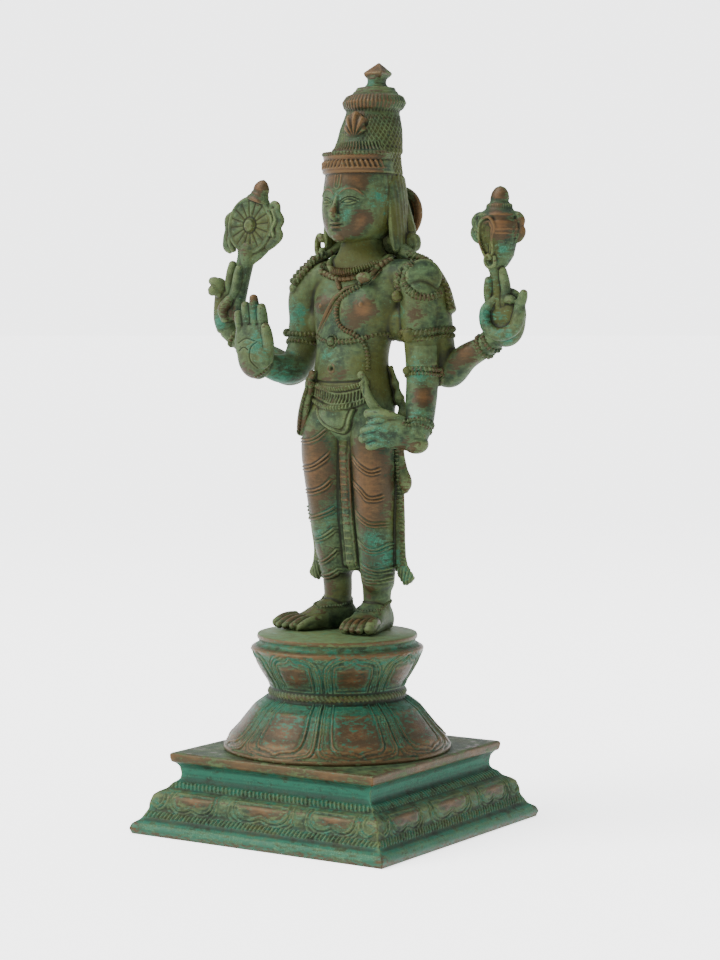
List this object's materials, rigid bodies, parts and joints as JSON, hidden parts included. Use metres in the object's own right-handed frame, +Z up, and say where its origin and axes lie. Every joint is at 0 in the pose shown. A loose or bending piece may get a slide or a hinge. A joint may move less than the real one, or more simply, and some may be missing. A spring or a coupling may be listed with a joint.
{
  "type": "deity figure",
  "caption": "Standing multi-armed deity in patinated cast bronze, tall crown, discus and conch in the rear hands, on a round lotus pedestal and a square stepped plinth.",
  "frame": {"origin": "centre of the plinth's underside", "axes": "+Z up, the figure faces -Y, its own left hand side is +X"},
  "size_m": [0.1535, 0.12, 0.3093],
  "materials": {
    "figure": "cast bronze with green patina worn to copper brown on the high places",
    "lotus_pedestal": "cast bronze, turquoise patina worn to copper brown in the petals",
    "square_plinth": "cast bronze, turquoise patina worn to copper brown on the edges"
  },
  "bodies": {
    "root": {"figure": "figure", "lotus_pedestal": "lotus_pedestal", "square_plinth": "square_plinth"}
  },
  "joints": []
}
